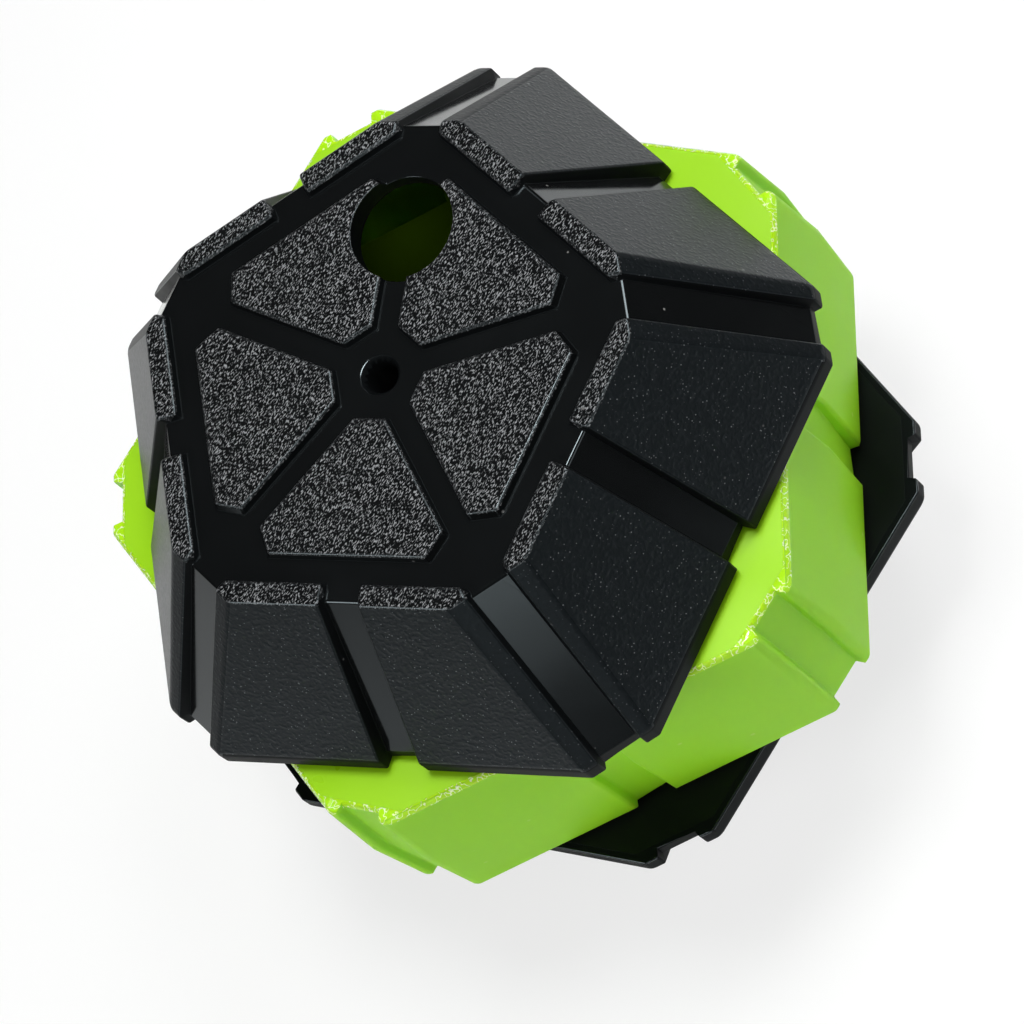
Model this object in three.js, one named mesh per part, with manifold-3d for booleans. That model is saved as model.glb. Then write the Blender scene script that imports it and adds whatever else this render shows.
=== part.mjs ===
// Dog treat puzzle: three five-sided layers that twist on one upright post.
// Millimetres, +Z up, the post on the Z axis, the lower shell's pads standing on z = 0.

import * as THREE from 'three';
import { ConvexGeometry } from 'three/addons/geometries/ConvexGeometry.js';
import { mergeVertices } from 'three/addons/utils/BufferGeometryUtils.js';
import Module from 'manifold-3d';

const wasm = await Module();
wasm.setup();

// How the layers are turned at rest, in degrees about +Z.
const sideCount = 5;
const topTurnDegrees = 205.5;
const midTwistDegrees = 28.7;
const bottomTwistDegrees = -7.0;

// Deck plates let into the wide end of the ring and of the shells.
const deckThickness = 2.4;
const deckLip = 1.0;
const deckLedge = 1.3;
const deckClearance = 0.2;
const seatGap = 0.3;
const layerGap = 1.0;

// Floors of the ring and the top shell: webs that close the corners hanging over the layer below.
const floorRim = 1.5;
const floorInset = 0.4;

// End shells: two black mouldings alike, one on top and one turned over below.
const shellHeight = 37.2;
const skirtMargin = 0.1;
const skirtHeight = deckThickness + seatGap + skirtMargin;
const endInradius = 44.0;
const endCornerCut = 5.0;
const wideInradius = 62.4;
const wideCornerCut = 3.8;
const shellWall = 2.4;
const endPlate = 3.0;

// Raised panels, two on each side, parted by a groove at mid-side and a channel at each corner.
const grooveWidth = 7.0;
const grooveDraft = 0.6;
const channelWidth = 7.6;
const channelDraft = 0.8;
const panelRoot = 0.8;

// How far the shell's panels stand out at each end, on the sides and at the lobes beside a channel.
const panelLand = 4.2;
const panelWideProud = 2.7;
const panelEndProud = 1.2;
const lobeWideProud = 1.7;
const lobeEndProud = 0.3;

// Middle ring, with walls that swell to a parting line at half its height.
const ringHeight = 44.9;
const ringPanelProud = 2.2;
const ringLobeProud = 2.0;
const ringBulge = 1.2;
const ringWall = deckLip + deckLedge;
const rimFlat = 0.3;
const rimChamfer = deckLip - rimFlat;

// Screws, and the neck, shelf and access bore sized round them.
const screwDiameter = 3.0;
const screwLength = 14.0;
const screwHeadHeight = 2.2;
const screwCrownInset = 0.8;
const driveSlotWidth = 1.0;
const driveSlotLength = 3.4;
const driveSlotDepth = 1.1;
const pilotClearance = 0.2;
const pilotRunout = 2.0;
const neckWall = 0.5;
const runningClearance = 0.2;
const shelfThickness = 3.0;
const shelfLedge = 0.7;
const accessDepth = 16.2;
const accessLipFlare = 1.35;
const accessLipDepth = 1.2;
const headClearance = 0.3;
const washerClearance = 0.1;
const washerThickness = 0.6;
const pilotDiameter = screwDiameter + 2 * pilotClearance;
const pilotDepth = screwLength + pilotRunout;
const neckDiameter = pilotDiameter + 2 * neckWall;
const neckBore = neckDiameter + 2 * runningClearance;
const accessDiameter = neckBore + 2 * shelfLedge;
const accessLipDiameter = accessDiameter + 2 * accessLipFlare;
const screwHeadDiameter = accessDiameter - 2 * headClearance;
const washerDiameter = accessDiameter - 2 * washerClearance;

// Post, the hubs that turn on it and the washers between them.
const postDiameter = 10.0;
const hubWall = 2.8;
const thrustOverhang = 3.0;
const thrustThickness = 1.0;
const thrustGap = 0.15;
const postBore = postDiameter + 2 * runningClearance;
const hubDiameter = postBore + 2 * hubWall;
const thrustDiameter = hubDiameter + 2 * thrustOverhang;

// Raised wedge pads and strips on the end face.
const padHeight = 1.8;
const padEdgeInset = 0.5;
const padCornerCut = 6.6;
const padCollar = 4.05;
const spokeWidth = 4.4;
const stripWidth = 3.5;
const stripChannel = 4.4;
const padInnerReach = accessLipDiameter / 2 + padCollar;
const stripInnerReach = endInradius - stripWidth;
const padOuterReach = stripInnerReach - stripChannel;

// Openings for the treats, each at the corner of its layer with the given index.
const treatHoleDiameter = 20.8;
const treatHoleReach = 28.8;
const dropEdgeMargin = 6.1;
const dropLength = 17.2;
const dropNoseLength = 8.0;
const dropWidth = 26.0;
const dropNoseWidth = 12.0;
const topInletIndex = 2;
const midDropIndex = 2;
const bottomDropIndex = 3;
const bottomOutletIndex = 4;

// How far cutters run past the faces that they open, and how finely round things are divided.
const cutOverrun = 2.0;
const roundSegments = 48;
const smallSegments = 32;

const halfSide = Math.PI / sideCount;
const fullSide = 2 * halfSide;
const endCornerReach = endInradius / Math.cos(halfSide) - endCornerCut;
const wideCornerReach = wideInradius / Math.cos(halfSide) - wideCornerCut;
const shellSlope = (wideInradius - endInradius) / (shellHeight - skirtHeight);
const cornerSlope = (wideCornerReach - endCornerReach) / (shellHeight - skirtHeight);
const deckInradius = wideInradius + ringPanelProud - deckLip - deckClearance;
const deckCornerReach = wideCornerReach - deckLip - deckClearance;
const deckGrooveReach = wideInradius - deckLip - deckClearance;
const deckNotchHalf = grooveWidth / 2 + grooveDraft + deckLip + deckClearance;
const floorMouth = 2 * (wideInradius - floorInset);

// Heights of the layers in the standing toy.
const bottomParting = padHeight + shellHeight;
const ringBase = bottomParting + layerGap;
const ringTop = ringBase + ringHeight;
const topParting = ringTop + layerGap;
const hubEnd = thrustThickness + 2 * thrustGap;
const shelfInner = shellHeight - accessDepth - shelfThickness;

// Solid from any closed three.js geometry.
function solid(geometry) {
  const bare = geometry.index ? geometry.toNonIndexed() : geometry.clone();
  bare.deleteAttribute('normal');
  bare.deleteAttribute('uv');
  const merged = mergeVertices(bare, 1e-4);
  return new wasm.Manifold(new wasm.Mesh({
    numProp: 3,
    vertProperties: new Float32Array(merged.attributes.position.array),
    triVerts: new Uint32Array(merged.index.array),
  }));
}

// Mesh node from a finished solid.
function node(name, body, material) {
  const result = body.getMesh();
  const geometry = new THREE.BufferGeometry();
  geometry.setAttribute('position', new THREE.BufferAttribute(new Float32Array(result.vertProperties), 3));
  geometry.setIndex(new THREE.BufferAttribute(new Uint32Array(result.triVerts), 1));
  geometry.computeVertexNormals();
  const mesh = new THREE.Mesh(geometry, material);
  mesh.name = name;
  return mesh;
}

function joinAll(solids) {
  return solids.reduce((whole, piece) => whole.add(piece));
}

function cutAll(body, cutters) {
  return cutters.reduce((whole, cutter) => whole.subtract(cutter), body);
}

// Point at a distance along a side's normal and a distance along the side.
function sidePoint(side, reach, along, z) {
  const angle = side * fullSide;
  const x = reach * Math.cos(angle) - along * Math.sin(angle);
  const y = reach * Math.sin(angle) + along * Math.cos(angle);
  return new THREE.Vector3(x, y, z);
}

// The same, measured from the corner that follows a side.
function cornerPoint(side, reach, along, z) {
  return sidePoint(side + 0.5, reach, along, z);
}

// Half the length of a side once its corners are cut off square at a given reach.
function halfLength(inradius, cornerReach) {
  return (cornerReach - inradius * Math.cos(halfSide)) / Math.sin(halfSide);
}

function hull(points) {
  return solid(new ConvexGeometry(points));
}

// Pentagon with cut corners, as points at one height.
function cutPentagon(inradius, cornerReach, z) {
  const half = halfLength(inradius, cornerReach);
  const points = [];
  for (let side = 0; side < sideCount; side += 1) {
    points.push(sidePoint(side, inradius, -half, z));
    points.push(sidePoint(side, inradius, half, z));
  }
  return points;
}

// Convex body through a list of levels, each a cut pentagon.
function loft(levels) {
  return hull(levels.flatMap((level) => cutPentagon(level.inradius, level.cornerReach, level.z)));
}

function cylinder(diameter, from, to, segments = roundSegments) {
  const geometry = new THREE.CylinderGeometry(diameter / 2, diameter / 2, to - from, segments);
  geometry.rotateX(Math.PI / 2);
  geometry.translate(0, 0, (from + to) / 2);
  return solid(geometry);
}

function cone(lowDiameter, highDiameter, from, to, segments = smallSegments) {
  const geometry = new THREE.CylinderGeometry(highDiameter / 2, lowDiameter / 2, to - from, segments);
  geometry.rotateX(Math.PI / 2);
  geometry.translate(0, 0, (from + to) / 2);
  return solid(geometry);
}

function prism(outline, from, to) {
  const shape = new THREE.Shape(outline.map((point) => new THREE.Vector2(point.x, point.y)));
  const geometry = new THREE.ExtrudeGeometry(shape, { depth: to - from, bevelEnabled: false, steps: 1 });
  geometry.translate(0, 0, from);
  return solid(geometry);
}

// One raised panel's outline at one level, on the far or the near half of a side.
function panelOutline(side, half, level, grooveHalf, channelHalf) {
  const corner = half > 0 ? side : side - 1;
  const reachAlong = halfLength(level.inradius, level.cornerReach);
  return [
    sidePoint(side, level.inradius, half * grooveHalf, level.z),
    sidePoint(side, level.inradius, half * reachAlong, level.z),
    cornerPoint(corner, level.cornerReach, -half * channelHalf, level.z),
  ];
}

// Raised panel: a face outline over a slightly wider foot that is rooted in the wall.
function panel(side, half, faceLevels, footLevels) {
  const groove = grooveWidth / 2;
  const channel = channelWidth / 2;
  const face = faceLevels.flatMap(
    (step) => panelOutline(side, half, step, groove + grooveDraft, channel + channelDraft),
  );
  const foot = footLevels.flatMap((step) => panelOutline(side, half, step, groove, channel));
  return face.concat(foot);
}

function level(inradius, cornerReach, z) {
  return { inradius, cornerReach, z };
}

// Levels of the shell's side, moved out from the groove floor by an amount.
function shellLevels(out, endZ) {
  const rise = endZ - skirtHeight;
  return [
    level(wideInradius + out, wideCornerReach + out, 0),
    level(wideInradius + out, wideCornerReach + out, skirtHeight),
    level(wideInradius + out - shellSlope * rise, wideCornerReach + out - cornerSlope * rise, endZ),
  ];
}

// Levels of the shell's panel faces, from the upright land to the raised end face.
function shellFaceLevels() {
  const wide = wideInradius + panelWideProud;
  const wideLobe = wideCornerReach + lobeWideProud;
  return [
    level(wide, wideLobe, 0),
    level(wide, wideLobe, panelLand),
    level(endInradius + panelEndProud, endCornerReach + lobeEndProud, shellHeight + padHeight),
  ];
}

// Strip where a panel turns over the edge onto the end face.
function stripPoints(side, half, reach, z, grooveSide, channelSide) {
  const farEnd = reach * Math.tan(halfSide) - channelSide / Math.cos(halfSide);
  return [
    sidePoint(side, reach, half * grooveSide, z),
    sidePoint(side, reach, half * farEnd, z),
  ];
}

function shellPanel(side, half) {
  const groove = grooveWidth / 2;
  const channel = channelWidth / 2;
  const points = panel(side, half, shellFaceLevels(), shellLevels(-panelRoot, shellHeight));
  const strip = stripPoints(
    side,
    half,
    stripInnerReach + padEdgeInset,
    shellHeight + padHeight,
    groove + grooveDraft,
    channel + channelDraft,
  );
  const stripFoot = stripPoints(side, half, stripInnerReach, shellHeight - panelRoot, groove, channel);
  return hull(points.concat(strip, stripFoot));
}

// Wedge pad between two spokes of the end face.
function padOutline(side, inset, z) {
  const wall = (spokeWidth / 2 + inset) / Math.cos(halfSide);
  const outer = padOuterReach - inset;
  const inner = padInnerReach + inset;
  const outerHalf = outer * Math.tan(halfSide) - wall;
  const innerHalf = inner * Math.tan(halfSide) - wall;
  const cutReach = outer - padCornerCut * Math.cos(halfSide);
  const cutHalf = outerHalf - padCornerCut * Math.sin(halfSide);
  const corners = [[inner, innerHalf], [cutReach, cutHalf], [outer, outerHalf - padCornerCut]];
  return corners.flatMap(([reach, along]) => [
    sidePoint(side, reach, along, z),
    sidePoint(side, reach, -along, z),
  ]);
}

function pad(side) {
  const foot = padOutline(side, 0, shellHeight - panelRoot);
  const face = padOutline(side, padEdgeInset, shellHeight + padHeight);
  return hull(foot.concat(face));
}

// Outline of a deck plate, or of its pocket when it is grown by a clearance.
function deckOutline(grow) {
  const inradius = deckInradius + grow;
  const grooveReach = deckGrooveReach + grow;
  const notchHalf = deckNotchHalf - grow;
  const half = halfLength(inradius, deckCornerReach + grow);
  const outline = [];
  for (let side = 0; side < sideCount; side += 1) {
    outline.push(sidePoint(side, inradius, -half, 0));
    outline.push(sidePoint(side, inradius, -notchHalf, 0));
    outline.push(sidePoint(side, grooveReach, -notchHalf, 0));
    outline.push(sidePoint(side, grooveReach, notchHalf, 0));
    outline.push(sidePoint(side, inradius, notchHalf, 0));
    outline.push(sidePoint(side, inradius, half, 0));
  }
  return outline;
}

function deckPocket(from, to) {
  return prism(deckOutline(deckClearance), from, to);
}

// Cutters for a hub: a socket for the post, a shelf for its neck and a way in for the screw.
function hubCutters() {
  const shelfOuter = shelfInner + shelfThickness;
  const end = shellHeight + cutOverrun;
  return [
    cylinder(postBore, -cutOverrun, shelfInner),
    cylinder(neckBore, shelfInner - cutOverrun, shelfOuter + cutOverrun),
    cylinder(accessDiameter, shelfOuter, end),
    cone(accessDiameter, accessLipDiameter, shellHeight - accessLipDepth, shellHeight),
    cylinder(accessLipDiameter, shellHeight, end),
  ];
}

// End shell with its wide end on z = 0 and its end face up.
function endShell(holeCorner, hubStart) {
  const outer = [loft(shellLevels(0, shellHeight))];
  for (let side = 0; side < sideCount; side += 1) {
    outer.push(shellPanel(side, 1));
    outer.push(shellPanel(side, -1));
    outer.push(pad(side));
  }
  const inside = shellHeight - endPlate;
  const wallOut = -shellWall * Math.hypot(1, shellSlope);
  const mouth = level(wideInradius + wallOut, wideCornerReach + wallOut, -cutOverrun);
  const cavity = loft([mouth, ...shellLevels(wallOut, inside)]);
  const pocket = deckPocket(-cutOverrun, deckThickness + seatGap);
  const hollow = cutAll(joinAll(outer), [cavity, pocket]);
  const hub = cylinder(hubDiameter, hubStart, inside + endPlate / 2);
  const hole = cylinder(treatHoleDiameter, inside - cutOverrun, shellHeight + padHeight + cutOverrun);
  const spot = cornerPoint(holeCorner, treatHoleReach, 0, 0);
  const placedHole = hole.translate([spot.x, spot.y, 0]);
  return cutAll(hollow.add(hub), [...hubCutters(), placedHole]);
}

// Levels of the ring's wall, moved out from the groove floor on the sides and at the corners.
function ringLevels(sideOut, cornerOut) {
  const inradius = wideInradius + sideOut;
  const cornerReach = wideCornerReach + cornerOut;
  return [
    level(inradius - rimChamfer, cornerReach - rimChamfer, 0),
    level(inradius, cornerReach, rimChamfer),
    level(inradius + ringBulge, cornerReach + ringBulge, ringHeight / 2),
    level(inradius, cornerReach, ringHeight - rimChamfer),
    level(inradius - rimChamfer, cornerReach - rimChamfer, ringHeight),
  ];
}

function ringBody() {
  const outer = [loft(ringLevels(0, 0))];
  const faces = ringLevels(ringPanelProud, ringLobeProud);
  const feet = ringLevels(-panelRoot, -panelRoot);
  for (let side = 0; side < sideCount; side += 1) {
    outer.push(hull(panel(side, 1, faces, feet)));
    outer.push(hull(panel(side, -1, faces, feet)));
  }
  const inradius = wideInradius - ringWall;
  const cornerReach = wideCornerReach - ringWall;
  const well = loft([
    level(inradius, cornerReach, deckThickness),
    level(inradius, cornerReach, ringHeight + cutOverrun),
  ]);
  const throughFloor = loft([
    level(inradius, cornerReach, -cutOverrun),
    level(inradius, cornerReach, deckThickness + cutOverrun),
  ]);
  const mouth = throughFloor.intersect(cylinder(floorMouth, -cutOverrun, deckThickness + cutOverrun));
  const pocket = deckPocket(ringHeight - deckThickness - seatGap, ringHeight + cutOverrun);
  return cutAll(joinAll(outer), [well, mouth, pocket]);
}

// Floor frame let into the top shell, open but for its rim and the webs at its corners.
function floorFrame() {
  const plate = prism(deckOutline(0), 0, deckThickness);
  const opening = prism(deckOutline(-floorRim), -cutOverrun, deckThickness + cutOverrun);
  return plate.subtract(opening.intersect(cylinder(floorMouth, -cutOverrun, deckThickness + cutOverrun)));
}

// Drop hole in a deck, with a straight inner edge and a nose toward the corner.
function dropHole(corner) {
  const outer = deckCornerReach - dropEdgeMargin;
  const shoulder = outer - dropNoseLength;
  const inner = outer - dropLength;
  const outline = [
    cornerPoint(corner, inner, -dropWidth / 2, 0),
    cornerPoint(corner, shoulder, -dropWidth / 2, 0),
    cornerPoint(corner, outer, -dropNoseWidth / 2, 0),
    cornerPoint(corner, outer, dropNoseWidth / 2, 0),
    cornerPoint(corner, shoulder, dropWidth / 2, 0),
    cornerPoint(corner, inner, dropWidth / 2, 0),
  ];
  return prism(outline, -cutOverrun, deckThickness + cutOverrun);
}

// Deck plate with its upper face at z = deckThickness and, where it turns, a sleeve below it.
function deckBody(corner, sleeveLength) {
  const plate = prism(deckOutline(0), 0, deckThickness);
  const sleeve = cylinder(hubDiameter, -sleeveLength, deckThickness);
  const bore = cylinder(postBore, -sleeveLength - cutOverrun, deckThickness + cutOverrun);
  return cutAll(plate.add(sleeve), [dropHole(corner), bore]);
}

// Post with a thinner neck at each end that passes the shell's shelf, drilled for the screws.
function postBody(length) {
  const half = length / 2;
  const neckEnd = half + shelfThickness + 2 * seatGap;
  const profile = [
    [0, pilotDepth - neckEnd],
    [pilotDiameter / 2, pilotDepth - neckEnd],
    [pilotDiameter / 2, -neckEnd],
    [neckDiameter / 2, -neckEnd],
    [neckDiameter / 2, -half],
    [postDiameter / 2, -half],
    [postDiameter / 2, half],
    [neckDiameter / 2, half],
    [neckDiameter / 2, neckEnd],
    [pilotDiameter / 2, neckEnd],
    [pilotDiameter / 2, neckEnd - pilotDepth],
    [0, neckEnd - pilotDepth],
  ];
  return solid(turned(profile, roundSegments));
}

// Turned piece from a profile of radius and height pairs.
function turned(profile, segments) {
  const points = profile.map(([radius, height]) => new THREE.Vector2(radius, height));
  const geometry = new THREE.LatheGeometry(points, segments);
  geometry.rotateX(Math.PI / 2);
  return geometry;
}

// Pan-head screw, head up, with the underside of its head on z = 0.
function screwBody() {
  const shank = cylinder(screwDiameter, -screwLength, screwHeadHeight / 2, smallSegments);
  const rim = cylinder(screwHeadDiameter, 0, screwHeadHeight / 2, smallSegments);
  const crownDiameter = screwHeadDiameter - 2 * screwCrownInset;
  const crown = cone(screwHeadDiameter, crownDiameter, screwHeadHeight / 2, screwHeadHeight);
  const slot = new THREE.BoxGeometry(driveSlotLength, driveSlotWidth, 2 * driveSlotDepth);
  slot.translate(0, 0, screwHeadHeight);
  const cross = slot.clone().rotateZ(Math.PI / 2);
  return cutAll(joinAll([shank, rim, crown]), [solid(slot), solid(cross)]);
}

function washerBody(diameter, bore, thickness, segments) {
  const disc = cylinder(diameter, 0, thickness, segments);
  return disc.subtract(cylinder(bore, -cutOverrun, thickness + cutOverrun, segments));
}

function plastic(color, roughness) {
  return new THREE.MeshStandardMaterial({ color, roughness, metalness: 0 });
}

function metal(color, roughness) {
  return new THREE.MeshStandardMaterial({ color, roughness, metalness: 1 });
}

function turn(degrees) {
  return THREE.MathUtils.degToRad(degrees);
}

// Lower layer: the shell turned over, its deck and everything held on the post.
function bottomLayer() {
  const layer = new THREE.Group();
  layer.rotation.z = turn(topTurnDegrees + bottomTwistDegrees);
  const body = endShell(bottomOutletIndex, deckThickness + seatGap);
  const shell = node('bottom_shell', body, plastic(0x17191b, 0.45));
  shell.rotation.x = Math.PI;
  shell.position.z = bottomParting;
  const deck = node('bottom_deck', deckBody(bottomDropIndex, 0), plastic(0x121414, 0.2));
  deck.position.z = bottomParting - deckThickness;
  layer.add(shell, deck);
  return layer;
}

function postAndFasteners() {
  const group = new THREE.Group();
  const lowShelf = bottomParting - shelfInner;
  const highShelf = topParting + shelfInner;
  const length = highShelf - lowShelf - 2 * seatGap;
  const post = node('axle_post', postBody(length), plastic(0x202224, 0.5));
  post.position.z = (lowShelf + highShelf) / 2;
  group.add(post);
  const ends = [['top', 0, highShelf + shelfThickness], ['bottom', Math.PI, lowShelf - shelfThickness]];
  for (const [end, flip, seat] of ends) {
    const away = flip === 0 ? 1 : -1;
    const washer = node(
      `${end}_washer`,
      washerBody(washerDiameter, pilotDiameter, washerThickness, smallSegments),
      metal(0xb8bbbd, 0.35),
    );
    washer.rotation.x = flip;
    washer.position.z = seat + away * (seatGap + thrustGap);
    const screw = node(`${end}_screw`, screwBody(), metal(0x9a9da0, 0.35));
    screw.rotation.x = flip;
    screw.position.z = seat + away * (seatGap + 2 * thrustGap + washerThickness);
    group.add(washer, screw);
  }
  return group;
}

function thrustWasher(name, z) {
  const washer = node(
    name,
    washerBody(thrustDiameter, postBore, thrustThickness, roundSegments),
    plastic(0xe8e8e2, 0.4),
  );
  washer.position.z = z;
  return washer;
}

// Middle layer: the lime ring and the deck let into its top.
function middleLayer() {
  const layer = new THREE.Group();
  layer.rotation.z = turn(topTurnDegrees + midTwistDegrees);
  const ring = node('mid_ring', ringBody(), plastic(0x86c71c, 0.4));
  ring.position.z = ringBase;
  const deckBase = ringTop - deckThickness;
  const sleeve = deckBase - bottomParting - hubEnd;
  const deck = node('mid_deck', deckBody(midDropIndex, sleeve), plastic(0x9ddb1e, 0.3));
  deck.position.z = deckBase;
  layer.add(ring, deck);
  return layer;
}

function topLayer() {
  const layer = new THREE.Group();
  layer.rotation.z = turn(topTurnDegrees);
  const body = endShell(topInletIndex, hubEnd - layerGap);
  const shell = node('top_shell', body, plastic(0x17191b, 0.45));
  shell.position.z = topParting;
  const floor = node('top_floor', floorFrame(), plastic(0x121414, 0.2));
  floor.position.z = topParting;
  layer.add(shell, floor);
  return layer;
}

const puzzle = new THREE.Group();
puzzle.add(bottomLayer());
puzzle.add(postAndFasteners());
puzzle.add(thrustWasher('lower_thrust_washer', bottomParting + thrustGap));
puzzle.add(middleLayer());
puzzle.add(thrustWasher('upper_thrust_washer', ringTop + thrustGap));
puzzle.add(topLayer());

export default puzzle;
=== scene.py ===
import math

import bmesh
import bpy
from mathutils import Matrix, Vector


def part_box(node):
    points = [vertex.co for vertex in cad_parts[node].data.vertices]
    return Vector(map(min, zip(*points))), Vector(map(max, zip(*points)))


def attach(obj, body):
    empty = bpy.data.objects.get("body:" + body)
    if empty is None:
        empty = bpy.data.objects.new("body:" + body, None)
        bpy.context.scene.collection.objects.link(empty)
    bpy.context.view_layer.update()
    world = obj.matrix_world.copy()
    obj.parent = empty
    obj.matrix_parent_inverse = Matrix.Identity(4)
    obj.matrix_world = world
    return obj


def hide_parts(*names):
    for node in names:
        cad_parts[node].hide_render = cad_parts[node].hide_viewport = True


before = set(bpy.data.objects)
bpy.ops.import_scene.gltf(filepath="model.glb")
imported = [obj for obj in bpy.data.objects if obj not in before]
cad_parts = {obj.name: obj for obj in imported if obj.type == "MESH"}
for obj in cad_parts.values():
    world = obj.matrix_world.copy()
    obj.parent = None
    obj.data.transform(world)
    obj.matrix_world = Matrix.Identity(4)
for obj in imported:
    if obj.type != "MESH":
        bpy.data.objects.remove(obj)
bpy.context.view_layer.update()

mm = 0.001

# how the layers are turned and stacked, as the frame has them: a shell has a wide edge and a sunk end face
layers = {
    "top": {"turn": 205.5, "edge": 85.9 * mm, "face": 123.1 * mm, "holeCorner": 2},
    "bottom": {"turn": 198.5, "edge": 39.0 * mm, "face": 1.8 * mm, "holeCorner": 4},
    "ring": {"low": 40.0 * mm, "high": 84.9 * mm},
}
sideStep = 72  # degrees from one of the five sides to the next
halfStep = sideStep // 2


def linkPiece(name, data):
    piece = bpy.data.objects.new(name, data)
    bpy.context.scene.collection.objects.link(piece)
    return piece


# shader helpers

wholeRange = (0.0, 1.0)
mixSockets = {"factor": 0, "first": 6, "second": 7, "result": 2}  # the mix node's colour sockets


def newTree(name):
    material = bpy.data.materials.new(name)
    material.use_nodes = True
    tree = material.node_tree
    tree.nodes.clear()
    output = tree.nodes.new("ShaderNodeOutputMaterial")
    bsdf = tree.nodes.new("ShaderNodeBsdfPrincipled")
    tree.links.new(bsdf.outputs["BSDF"], output.inputs["Surface"])
    return material, tree, bsdf


# links a socket to another one, or sets it to a constant
def feed(tree, socket, value):
    if isinstance(value, bpy.types.NodeSocket):
        tree.links.new(value, socket)
    else:
        socket.default_value = value


def addNode(tree, kind, **values):
    node = tree.nodes.new(kind)
    for key, value in values.items():
        if key in node.inputs:
            feed(tree, node.inputs[key], value)
        else:
            setattr(node, key, value)
    return node


def newGroup(name, inputs, outputs):
    group = bpy.data.node_groups.new(name, "ShaderNodeTree")
    for label, kind, default in inputs:
        socket = group.interface.new_socket(label, in_out="INPUT", socket_type=kind)
        socket.default_value = default
    for label in outputs:
        group.interface.new_socket(label, in_out="OUTPUT", socket_type="NodeSocketFloat")
    start = group.nodes.new("NodeGroupInput")
    end = group.nodes.new("NodeGroupOutput")
    return group, start.outputs, end.inputs


def placeGroup(tree, group, values):
    node = tree.nodes.new("ShaderNodeGroup")
    node.node_tree = group
    for key, value in values.items():
        node.inputs[key].default_value = value
    return node.outputs


def mapRange(tree, value, source, target, kind="LINEAR"):
    node = addNode(tree, "ShaderNodeMapRange", interpolation_type=kind, Value=value)
    node.inputs["From Min"].default_value, node.inputs["From Max"].default_value = source
    node.inputs["To Min"].default_value, node.inputs["To Max"].default_value = target
    return node.outputs["Result"]


def ramp(tree, value, source, target=wholeRange):
    return mapRange(tree, value, source, target, "SMOOTHSTEP")


def calc(tree, operation, *values):
    node = addNode(tree, "ShaderNodeMath", operation=operation)
    for socket, value in zip(node.inputs, values):
        feed(tree, socket, value)
    return node.outputs["Value"]


def noise(tree, place, **values):
    return addNode(tree, "ShaderNodeTexNoise", Vector=place, **values).outputs["Fac"]


# small round specks in some of the cells
def specks(tree, place, size, near, chosen):
    cells = addNode(tree, "ShaderNodeTexVoronoi", feature="F1", Randomness=1.0, Vector=place, Scale=size)
    split = addNode(tree, "ShaderNodeSeparateColor", Color=cells.outputs["Color"])
    spot = ramp(tree, cells.outputs["Distance"], near)
    return calc(tree, "MULTIPLY", spot, ramp(tree, split.outputs["Red"], chosen))


def mixColor(tree, factor, first, second):
    node = addNode(tree, "ShaderNodeMix", data_type="RGBA")
    for label, value in (("factor", factor), ("first", first), ("second", second)):
        feed(tree, node.inputs[mixSockets[label]], value)
    return node.outputs[mixSockets["result"]]


def bumpTo(tree, bsdf, height, strength, distance):
    node = addNode(tree, "ShaderNodeBump", Strength=strength, Distance=distance, Height=height)
    feed(tree, bsdf.inputs["Normal"], node.outputs["Normal"])


# moulded grain: an even crinkle and short crooked ridges, with masks for painted sheen lines along the
# flow and for painted glints on a few grains
grainSettings = {
    "crinkleSize": 1250.0,
    "crinkle": {"Detail": 0.8, "Roughness": 0.5, "Distortion": 0.35},
    "ridgeSize": (1500.0, 2900.0, 2000.0),
    "stroke": {"Scale": 1.0, "Detail": 0.0, "Distortion": 0.2},
    "ridge": (0.525, 0.775),
    "sheenLineSize": 900.0,
    "flow": {"Detail": 1.0, "Roughness": 0.5},
    "flowMiddle": 0.5,
    "sheenLine": (0.034, 0.010),
    "glintSize": 1500.0,
    "glintNear": (0.24, 0.10),
    "glintChosen": (0.42, 1.0),
}


def makeGrainGroup():
    group, start, end = newGroup(
        "mouldedGrain",
        [
            ("Crinkle Size", "NodeSocketFloat", grainSettings["crinkleSize"]),
            ("Ridge Size", "NodeSocketVector", grainSettings["ridgeSize"]),
            ("Sheen Line Size", "NodeSocketFloat", grainSettings["sheenLineSize"]),
            ("Glint Size", "NodeSocketFloat", grainSettings["glintSize"]),
        ],
        ["Crinkle", "Ridge", "Sheen Line", "Glint"],
    )
    place = group.nodes.new("ShaderNodeTexCoord").outputs["Object"]
    crinkle = noise(group, place, Scale=start["Crinkle Size"], **grainSettings["crinkle"])
    stretch = addNode(group, "ShaderNodeVectorMath", operation="MULTIPLY")
    feed(group, stretch.inputs[0], place)
    feed(group, stretch.inputs[1], start["Ridge Size"])
    strokes = noise(group, stretch.outputs["Vector"], **grainSettings["stroke"])
    # the flow noise's middle band masks the painted sheen lines
    flow = noise(group, place, Scale=start["Sheen Line Size"], **grainSettings["flow"])
    apart = calc(group, "ABSOLUTE", calc(group, "SUBTRACT", flow, grainSettings["flowMiddle"]))
    glint = specks(
        group, place, start["Glint Size"], grainSettings["glintNear"], grainSettings["glintChosen"]
    )
    feed(group, end["Crinkle"], crinkle)
    feed(group, end["Ridge"], ramp(group, strokes, grainSettings["ridge"]))
    feed(group, end["Sheen Line"], ramp(group, apart, grainSettings["sheenLine"]))
    feed(group, end["Glint"], glint)
    return group


# dust, hairline scratches and smears on the smooth faces
dustSettings = {
    "size": 260.0,
    "turn": (0.0, 0.0, 0.6),
    "near": (0.075, 0.03),
    "chosen": (0.80, 0.83),
    "stretch": (900.0, 14.0, 14.0),
    "line": {"Scale": 1.0, "Detail": 2.0, "Roughness": 0.6},
    "thin": (0.66, 0.74),
    "smear": {"Scale": 46.0, "Detail": 3.0, "Roughness": 0.55},
}


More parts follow.
